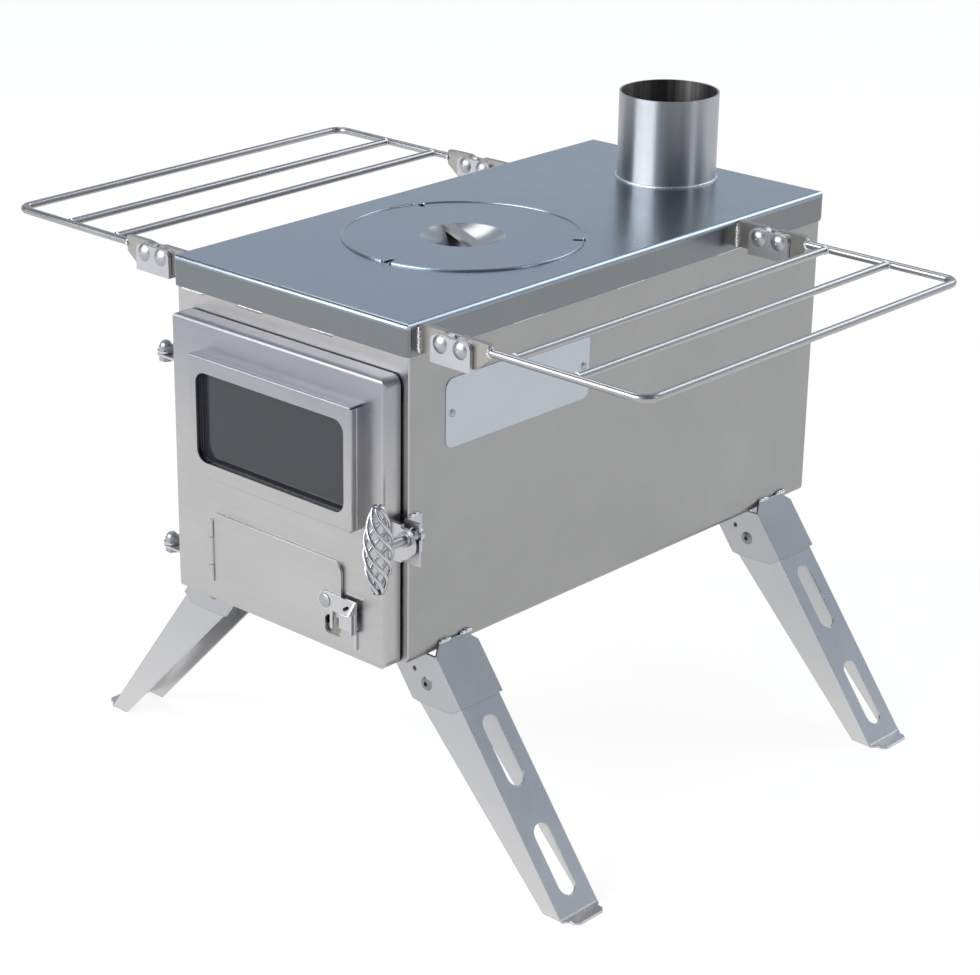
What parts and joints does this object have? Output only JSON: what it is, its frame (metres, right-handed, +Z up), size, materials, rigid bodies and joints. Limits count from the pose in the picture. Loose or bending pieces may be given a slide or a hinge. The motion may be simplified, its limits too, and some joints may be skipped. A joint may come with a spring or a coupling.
{
  "type": "tent wood stove",
  "caption": "Portable folded-steel wood stove with folding legs, a glazed door with an ash door, a lift-off hotplate, a flue collar and fold-over side racks.",
  "frame": {"origin": "on the ground, in the middle of the stove's outer box", "axes": "+X to the latch side, seen from the door as the right, +Y from the door to the back, +Z up"},
  "size_m": [0.5436, 0.4444, 0.4195],
  "materials": {
    "firebox": "brushed stainless sheet",
    "top": "brushed stainless sheet, finer grain",
    "front": "brushed stainless sheet",
    "hotplate": "stainless sheet with a polished dish",
    "flue": "stainless tube, brushed lengthwise",
    "grate": "plain steel plate",
    "legs": "brushed stainless sheet",
    "rods": "polished stainless rod",
    "hinges": "stainless plate, satin",
    "fasteners": "polished stainless",
    "handle": "polished wire",
    "glass": "clear heat-resistant glass over a dark firebox"
  },
  "bodies": {
    "stove": {"firebox_wrap": "firebox", "back_panel": "firebox", "front_frame": "front", "top_plate": "top", "hotplate_seat": "hotplate", "flue_collar": "flue", "grate_rails": "grate", "fire_grate": "grate", "hinge_ears_fixed": "hinges", "hinge_bolts": "fasteners", "hinge_acorn_nuts": "fasteners", "latch_keeper": "hinges", "leg_bracket_fr": "legs", "leg_bracket_fl": "legs", "leg_bracket_br": "legs", "leg_bracket_bl": "legs", "leg_rivets": "fasteners", "rack_bars_right": "hinges", "rack_bars_left": "hinges"},
    "hotplate": {"hotplate_cover": "hotplate", "hotplate_bar": "hotplate"},
    "door": {"door_panel": "front", "window_base": "front", "window_cap": "front", "window_glass": "glass", "hinge_ears_door": "hinges", "latch_lug": "hinges", "ash_barrels_fixed": "front", "ash_pin": "fasteners", "ash_keeper": "hinges"},
    "latch": {"latch_spindle": "fasteners", "basket_wires": "handle", "basket_caps": "handle", "latch_cam": "hinges"},
    "ash_door": {"ash_panel": "front", "ash_barrel_moving": "front", "ash_latch_rivet": "fasteners"},
    "ash_latch": {"ash_latch_comb": "hinges"},
    "leg_front_right": {"leg_fr": "legs"},
    "leg_front_left": {"leg_fl": "legs"},
    "leg_back_right": {"leg_br": "legs"},
    "leg_back_left": {"leg_bl": "legs"},
    "link_right": {"link_clips_right": "hinges", "link_rivets_right": "fasteners"},
    "link_left": {"link_clips_left": "hinges", "link_rivets_left": "fasteners"},
    "rack_right": {"rack_ends_right": "hinges", "rack_frame_right": "rods", "rack_middle_right": "rods", "rack_inner_right": "rods"},
    "rack_left": {"rack_ends_left": "hinges", "rack_frame_left": "rods", "rack_middle_left": "rods", "rack_inner_left": "rods"}
  },
  "joints": [
    {"name": "hotplate_lift", "type": "slide", "parent": "stove", "child": "hotplate", "axis": [0, 0, 1], "range_m": [0, 0.08]},
    {"name": "door_hinge", "type": "hinge", "parent": "stove", "child": "door", "pos_m": [-0.1055, -0.18675, 0.24], "axis": [0, 0, -1], "range_deg": [0, 110]},
    {"name": "latch_turn", "type": "hinge", "parent": "door", "child": "latch", "pos_m": [0.108, -0.18975, 0.232], "axis": [0, -1, 0], "range_deg": [0, 90]},
    {"name": "ash_door_hinge", "type": "hinge", "parent": "door", "child": "ash_door", "pos_m": [-0.0554, -0.1969, 0.1785], "axis": [0, 0, -1], "range_deg": [0, 100]},
    {"name": "ash_latch_pivot", "type": "hinge", "parent": "ash_door", "child": "ash_latch", "pos_m": [0.0486, -0.1981, 0.1767], "axis": [0, -1, 0], "range_deg": [0, 60]},
    {"name": "leg_front_right_fold", "type": "hinge", "parent": "stove", "child": "leg_front_right", "pos_m": [0.0975, -0.14075, 0.1235], "axis": [0, 1, 0], "range_deg": [0, 126]},
    {"name": "leg_back_right_fold", "type": "hinge", "parent": "stove", "child": "leg_back_right", "pos_m": [0.0975, 0.18125, 0.1235], "axis": [0, 1, 0], "range_deg": [0, 126]},
    {"name": "leg_front_left_fold", "type": "hinge", "parent": "stove", "child": "leg_front_left", "pos_m": [-0.0975, -0.14075, 0.1235], "axis": [0, -1, 0], "range_deg": [0, 62]},
    {"name": "leg_back_left_fold", "type": "hinge", "parent": "stove", "child": "leg_back_left", "pos_m": [-0.0975, 0.18125, 0.1235], "axis": [0, -1, 0], "range_deg": [0, 62]},
    {"name": "link_right_fold", "type": "hinge", "parent": "stove", "child": "link_right", "pos_m": [0.1212, -0.0212, 0.3523], "axis": [0, -1, 0], "range_deg": [0, 90]},
    {"name": "rack_right_fold", "type": "hinge", "parent": "link_right", "child": "rack_right", "pos_m": [0.1368, -0.0212, 0.3523], "axis": [0, -1, 0], "range_deg": [0, 90]},
    {"name": "link_left_fold", "type": "hinge", "parent": "stove", "child": "link_left", "pos_m": [-0.1212, -0.0212, 0.3523], "axis": [0, 1, 0], "range_deg": [0, 90]},
    {"name": "rack_left_fold", "type": "hinge", "parent": "link_left", "child": "rack_left", "pos_m": [-0.1368, -0.0212, 0.3523], "axis": [0, 1, 0], "range_deg": [0, 86]}
  ]
}
